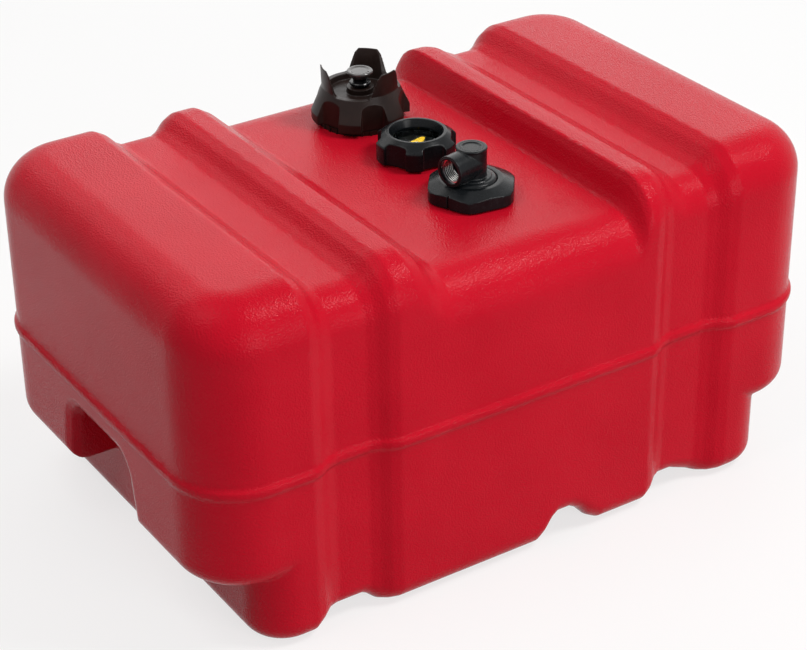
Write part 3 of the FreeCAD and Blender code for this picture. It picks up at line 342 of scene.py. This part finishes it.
def clearWindow(s):
    material, tree, shader, place = newMaterial("clearWindow")
    shader.inputs["Base Color"].default_value = (*s["colour"], 1)
    shader.inputs["Transmission Weight"].default_value = 1.0
    shader.inputs["IOR"].default_value = s["bend"]
    film = addNoise(tree, place, s["film"], 2.0)
    rough = spread(tree, film, 0.3, 0.7, s["roughLow"], s["roughHigh"])
    tree.links.new(rough, shader.inputs["Roughness"])
    return material


screenSet = {
    "gap": (0.16, 0.16, 0.16),
    "wire": (0.6, 0.6, 0.58),
    "weave": 500.0,
    "bump": 0.7,
    "depth": 0.0003,
}


def wovenScreen(s):
    material, tree, shader, place = newMaterial("wovenScreen")
    shader.inputs["Metallic"].default_value = 1.0
    waves = []
    for axis in ("X", "Z"):
        wave = tree.nodes.new("ShaderNodeTexWave")
        wave.bands_direction = axis
        wave.inputs["Scale"].default_value = s["weave"]
        tree.links.new(place, wave.inputs["Vector"])
        waves.append(wave.outputs["Fac"])
    weave = addSum(tree, waves[0], waves[1], 1.0)
    tree.links.new(tint(tree, weave, s["gap"], s["wire"]), shader.inputs["Base Color"])
    tree.links.new(spread(tree, weave, 0, 2, 0.5, 0.3), shader.inputs["Roughness"])
    addBump(tree, shader, weave, s["bump"], s["depth"])
    return material


plasticSet = {
    # name: dark and light colour, roughness, and what differs in grain, depth and shine
    "capBlack": (
        (0.012, 0.0065, 0.0055), (0.020, 0.0115, 0.0095), 0.34,
        {"grain": 700.0, "depth": 0.00012, "shine": 0.16},
    ),
    "fittingBlack": (
        (0.004, 0.005, 0.006), (0.008, 0.0095, 0.011), 0.24,
        {"depth": 0.00004, "shine": 0.15},
    ),
    "knobGrey": ((0.030, 0.026, 0.026), (0.055, 0.049, 0.048), 0.15, {"depth": 0.00003}),
    "glossBlack": (
        (0.004, 0.004, 0.005), (0.009, 0.009, 0.010), 0.12,
        {"depth": 0.00002, "shine": 0.25},
    ),
    "softRubber": ((0.012, 0.012, 0.012), (0.024, 0.024, 0.024), 0.7, {"shine": 0.3}),
    "dialBlack": ((0.006, 0.007, 0.008), (0.012, 0.013, 0.014), 0.5, {"shine": 0.2}),
    "pointerYellow": ((0.80, 0.46, 0.012), (0.88, 0.56, 0.02), 0.34, {"shine": 0.3}),
    "naturalWhite": ((0.60, 0.585, 0.54), (0.70, 0.69, 0.65), 0.45, {}),
    "floatFoam": (
        (0.020, 0.020, 0.021), (0.050, 0.050, 0.052), 0.8,
        {"grain": 420.0, "depth": 0.0006},
    ),
}

metalSet = {
    # name: colour, roughness, stretch of the brush lines
    "brightSteel": ((0.72, 0.72, 0.71), 0.16, (1, 1, 12)),
    "turnedSteel": ((0.80, 0.80, 0.79), 0.08, (6, 1, 1)),
    # the plate finish below: the port insert's metal painted nearly black, as painted shade for the
    # unlit inside of the bore
    "paintedShadePlate": ((0.030, 0.030, 0.034), 0.30, (1, 1, 12)),
    "dullPlate": ((0.30, 0.30, 0.31), 0.4, (1, 1, 12)),
    "springBrass": ((0.72, 0.52, 0.22), 0.22, (1, 1, 12)),
}

finishes = {
    "tankRed": tankRed(redSet),
    "clearWindow": clearWindow(windowSet),
    "wovenScreen": wovenScreen(screenSet),
}
for name, (dark, light, rough, other) in plasticSet.items():
    finishes[name] = mouldedPlastic(name, dark, light, rough, **other)
for name, (colour, rough, stretch) in metalSet.items():
    finishes[name] = bareMetal(name, colour, rough, stretch)

nodeFinish = {
    "tank_shell": "tankRed",
    "fill_neck_collar": "capBlack",
    "fill_cap": "capBlack",
    "fill_cap_gasket": "softRubber",
    "vent_seal": "softRubber",
    "vent_screw": "glossBlack",
    "vent_knob": "knobGrey",
    "gauge_gasket": "softRubber",
    "gauge_ring_nut": "fittingBlack",
    "gauge_body": "fittingBlack",
    "gauge_lens": "clearWindow",
    "gauge_dial": "dialBlack",
    "follower_magnet": "dullPlate",
    "gauge_pointer": "pointerYellow",
    "pointer_pin": "brightSteel",
    "shaft_bush": "naturalWhite",
    "drive_magnet": "dullPlate",
    "twist_strip": "springBrass",
    "guide_rods": "brightSteel",
    "guide_foot": "naturalWhite",
    "gauge_float": "floatFoam",
    "float_insert": "naturalWhite",
    "pickup_gasket": "softRubber",
    "pickup_nut": "fittingBlack",
    "pickup_head": "fittingBlack",
    # the port insert gets the nearly black metal that stands in as painted shade inside the bore
    "port_insert": "paintedShadePlate",
    "turret_plug": "fittingBlack",
    "dip_tube": "naturalWhite",
    "filter_cup": "naturalWhite",
    "filter_screen": "wovenScreen",
}


def smoothShade(mesh, angle=40.0):
    for face in mesh.polygons:
        face.use_smooth = True
    mesh.set_sharp_from_angle(angle=math.radians(angle))


for nodeName, finishName in nodeFinish.items():
    nodeMesh = nodes[nodeName].data
    nodeMesh.materials.clear()
    nodeMesh.materials.append(finishes[finishName])
    smoothShade(nodeMesh)
print("finishes on", len(nodeFinish), "nodes")


# mesh helpers

def addObject(name, mesh, finish, body):
    piece = bpy.data.objects.new(name, mesh)
    bpy.context.scene.collection.objects.link(piece)
    mesh.materials.clear()
    mesh.materials.append(finishes[finish])
    for face in mesh.polygons:
        face.use_smooth = True
    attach(piece, body)
    return piece


def remeshed(source, name, voxel, rounds, share=0.5, thin=1.0):
    piece = bpy.data.objects.new(name, source)
    bpy.context.scene.collection.objects.link(piece)
    modifier = piece.modifiers.new("remesh", "REMESH")
    modifier.mode = "VOXEL"
    modifier.voxel_size = voxel
    ease = piece.modifiers.new("ease", "SMOOTH")
    ease.factor = share
    ease.iterations = rounds
    if thin < 1:
        fewer = piece.modifiers.new("fewer", "DECIMATE")
        fewer.ratio = thin
        even = piece.modifiers.new("even", "SMOOTH")
        even.factor = share
        even.iterations = 2
        weigh = piece.modifiers.new("weigh", "WEIGHTED_NORMAL")
        weigh.mode = "FACE_AREA"
    view = bpy.context.evaluated_depsgraph_get()
    mesh = bpy.data.meshes.new_from_object(piece.evaluated_get(view))
    mesh.name = name
    bpy.data.objects.remove(piece)
    return mesh


softSet = {
    # node: voxel, smoothing rounds, body, slot
    "fill_cap": (0.42 * mm, 2, "fill_cap", "black_cap"),
    "gauge_ring_nut": (0.45 * mm, 4, "gauge_nut", "black_fitting"),
    "pickup_nut": (0.45 * mm, 4, "pickup_nut", "black_fitting"),
    "pickup_head": (0.42 * mm, 3, "pickup", "black_fitting"),
    "vent_knob": (0.26 * mm, 3, "vent", "grey_knob"),
}


nutSet = {
    "centre": (18 * mm, -70 * mm),
    "start": 0.925,        # share of the corner radius where the rounding begins
    "keep": 0.35,          # what is kept of the reach past it
}


def roundCorners(mesh, s):
    x, y = s["centre"]
    corner = max(math.hypot(vert.co.x - x, vert.co.y - y) for vert in mesh.vertices)
    start = s["start"] * corner
    for vert in mesh.vertices:
        reach = math.hypot(vert.co.x - x, vert.co.y - y)
        if reach > start:
            share = (start + (reach - start) * s["keep"]) / reach
            vert.co.x = x + (vert.co.x - x) * share
            vert.co.y = y + (vert.co.y - y) * share
    mesh.update()


def makeSoftPieces(s):
    for nodeName, (voxel, rounds, body, slotName) in s.items():
        source = nodes[nodeName].data.copy()
        mesh = remeshed(source, nodeName + "_soft", voxel, rounds)
        if nodeName == "pickup_nut":
            roundCorners(mesh, nutSet)
        piece = addObject(nodeName + "_soft", mesh, nodeFinish[nodeName], body)
        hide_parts(nodeName)
        print("softened", nodeName, len(mesh.polygons))


# tank shell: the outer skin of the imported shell, its moulded edges eased

shellSet = {
    "voxel": 1.4 * mm,
    "rounds": 2,
    "thin": 0.27,
    "deck": 273 * mm,
    "wall": 5 * mm,
    "necks": [
        # x, y, radius, height above the deck
        (23.5 * mm, 104 * mm, 31.5 * mm, 20.5 * mm),
        (21 * mm, 14 * mm, 26 * mm, 10 * mm),
        (18 * mm, -70 * mm, 26 * mm, 8 * mm),
    ],
    "neckWall": 5 * mm,
}


def facesInNecks(bm, s, low, margin):
    found = []
    for face in bm.faces:
        middle = face.calc_center_median()
        for x, y, radius, height in s["necks"]:
            if middle.z > low and math.hypot(middle.x - x, middle.y - y) < radius + margin:
                found.append(face)
                break
    return found


def outerSkin(s):
    bm = bmesh.new()
    bm.from_mesh(nodes["tank_shell"].data)
    bmesh.ops.remove_doubles(bm, verts=bm.verts, dist=0.00001)
    inside = facesInNecks(bm, s, s["deck"] - s["wall"] - 1 * mm, 0.2 * mm)
    bmesh.ops.delete(bm, geom=inside, context="FACES")
    groups = []
    left = set(bm.verts)
    while left:
        start = left.pop()
        group = {start}
        queue = [start]
        while queue:
            vert = queue.pop()
            for edge in vert.link_edges:
                other = edge.other_vert(vert)
                if other in left:
                    left.discard(other)
                    group.add(other)
                    queue.append(other)
        groups.append(group)

    def reachOf(group):
        places = [vert.co.x for vert in group]
        return max(places) - min(places)

    outer = max(groups, key=reachOf)
    spare = [vert for group in groups if group is not outer for vert in group]
    bmesh.ops.delete(bm, geom=spare, context="VERTS")
    rims = [edge for edge in bm.edges if edge.is_boundary]
    bmesh.ops.holes_fill(bm, edges=rims, sides=0)
    bmesh.ops.triangulate(bm, faces=[face for face in bm.faces if len(face.verts) > 4])
    mesh = bpy.data.meshes.new("skin")
    bm.to_mesh(mesh)
    bm.free()
    return mesh


def openNecks(mesh, s):
    # the skin stops inside each neck's wall, so the necks are open into the tank
    bm = bmesh.new()
    bm.from_mesh(mesh)
    mouth = facesInNecks(bm, s, s["deck"] - s["wall"], -s["neckWall"] / 2)
    bmesh.ops.delete(bm, geom=mouth, context="FACES")
    bm.to_mesh(mesh)
    bm.free()
    print("necks opened, faces taken out:", len(mouth))


def makeShell(s):
    voxel = s["voxel"] * 1.0
    mesh = remeshed(outerSkin(s), "tank_skin", voxel, s["rounds"], thin=s["thin"])
    openNecks(mesh, s)
    piece = addObject("tank_skin", mesh, "tankRed", "tank")
    print("tank skin", len(mesh.polygons))
    return piece


# screw threads, each a helical ridge with faded ends

def helixRidge(name, frameOf, s, finish, body):
    # frameOf(angle, radius, place) gives the point at that turn, radius and place along the axis
    count = int(s["turns"] * s["steps"])
    profile = [(0.0, -s["foot"]), (1.0, -s["crest"]), (1.0, s["crest"]), (0.0, s["foot"])]
    verts = []
    faces = []
    for step in range(count + 1):
        angle = 2 * math.pi * step / s["steps"]
        fade = min(1.0, step / s["fade"], (count - step) / s["fade"])
        middle = s["start"] + s["pitch"] * step / s["steps"]
        for tall, shift in profile:
            reach = s["root"] + s["tall"] * tall * fade
            verts.append(frameOf(angle, reach, middle + shift * s["pitch"]))
    for step in range(count):
        for number in range(len(profile) - 1):
            a = step * len(profile) + number
            b = a + len(profile)
            faces.append((a, a + 1, b + 1, b))
    mesh = bpy.data.meshes.new(name)
    mesh.from_pydata(verts, [], faces)
    mesh.update()
    piece = addObject(name, mesh, finish, body)
    smoothShade(piece.data, 25)
    return piece


def ringProfile(name, profile, steps, centre, finish, body):
    verts = []
    faces = []
    count = len(profile)
    for step in range(steps):
        angle = 2 * math.pi * step / steps
        for radius, height in profile:
            x = centre[0] + radius * math.cos(angle)
            y = centre[1] + radius * math.sin(angle)
            verts.append((x, y, centre[2] + height))
    for step in range(steps):
        for number in range(count):
            a = step * count + number
            b = step * count + (number + 1) % count
            c = ((step + 1) % steps) * count + (number + 1) % count
            d = ((step + 1) % steps) * count + number
            faces.append((a, b, c, d))
    mesh = bpy.data.meshes.new(name)
    mesh.from_pydata(verts, [], faces)
    mesh.update()
    piece = addObject(name, mesh, finish, body)
    smoothShade(piece.data, 35)
    return piece


neckSet = {
    "flare": 2.5 * mm,
    "rim": 0.8 * mm,
    "threads": {
        # name: lowest turn, number of turns
        "fill_neck": (7.2 * mm, 1.7),
        "gauge_neck": (2.6 * mm, 0.9),
        "pickup_neck": (2.3 * mm, 0.7),
    },
    "thread": {
        "pitch": 6.35 * mm,
        "tall": 1.1 * mm,
        "foot": 0.26,
        "crest": 0.11,
        "steps": 72,
        "fade": 10,
    },
}


def makeNecks(s, shell):
    for name, (x, y, radius, height) in zip(s["threads"], shell["necks"]):
        start, turns = s["threads"][name]
        bore = radius - shell["neckWall"]
        root = radius - s["thread"]["tall"]
        rim = s["rim"]
        profile = [
            (radius + 0.6 * s["flare"], -0.4 * mm),
            (radius + 0.25 * s["flare"], 0.5 * mm),
            (root, 1.6 * mm),
            (root, height - rim),
            (root - rim, height),
            (bore + rim, height),
            (bore, height - rim),
            (bore, -shell["wall"]),
            (radius + 0.6 * s["flare"], -shell["wall"]),
        ]
        profile.reverse()
        ringProfile(name, profile, 96, (x, y, shell["deck"]), "tankRed", "tank")
        ridge = {**s["thread"], "root": root - 0.05 * mm, "start": start, "turns": turns}

        def around(angle, reach, place):
            return (x + reach * math.cos(angle), y + reach * math.sin(angle), shell["deck"] + place)

        helixRidge(name + "_thread", around, ridge, "tankRed", "tank")
    print("necks made")


shell = makeShell(shellSet)
makeNecks(neckSet, shellSet)
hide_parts("tank_shell")
makeSoftPieces(softSet)


# fuel port: black lip over the metal insert, and the insert's thread

portSet = {
    "centre": (18 * mm, -70 * mm, 302 * mm),
    "turn": 12.0,
    "reach": 25.5 * mm,
    "lipOuter": 11.6 * mm,
    "lipInner": 10.05 * mm,
    "lipDepth": 1.3 * mm,
    "lipEdge": 0.3 * mm,
    "lipProud": 0.05 * mm,
    "lipFoot": 0.1 * mm,
    "lipSteps": 64,
    "thread": {
        "pitch": 1.81 * mm,
        "tall": -0.85 * mm,
        "root": 9.88 * mm,
        "foot": 0.17,
        "crest": 0.05,
        "start": -23.6 * mm,
        "turns": 7.0,
        "steps": 48,
        "fade": 24,
    },
}


def makePort(s):
    turn = math.radians(s["turn"])
    along = Vector((math.cos(turn), math.sin(turn), 0))
    across = Vector((-along.y, along.x, 0))
    up = Vector((0, 0, 1))
    centre = Vector(s["centre"])

    def around(angle, reach, place):
        return centre + along * place + (across * math.cos(angle) + up * math.sin(angle)) * reach

    helixRidge("port_thread", around, s["thread"], "turnedSteel", "pickup")
    edge = s["lipEdge"]
    front = -s["reach"]
    face = front - s["lipProud"]
    profile = [
        (s["lipInner"], front + s["lipDepth"]),
        (s["lipInner"], front + edge),
        (s["lipInner"] + edge, face),
        (s["lipOuter"], face),
        (s["lipOuter"], front + s["lipFoot"]),
    ]
    verts = []
    faces = []
    for step in range(s["lipSteps"]):
        for reach, place in profile:
            verts.append(around(2 * math.pi * step / s["lipSteps"], reach, place))
    count = len(profile)
    for step in range(s["lipSteps"]):
        here = step * count
        after = (step + 1) % s["lipSteps"] * count
        for number in range(count - 1):
            faces.append((here + number, here + number + 1, after + number + 1, after + number))
    mesh = bpy.data.meshes.new("port_lip")
    mesh.from_pydata(verts, [], faces)
    mesh.update()
    addObject("port_lip", mesh, "fittingBlack", "pickup")
    print("port made")


makePort(portSet)
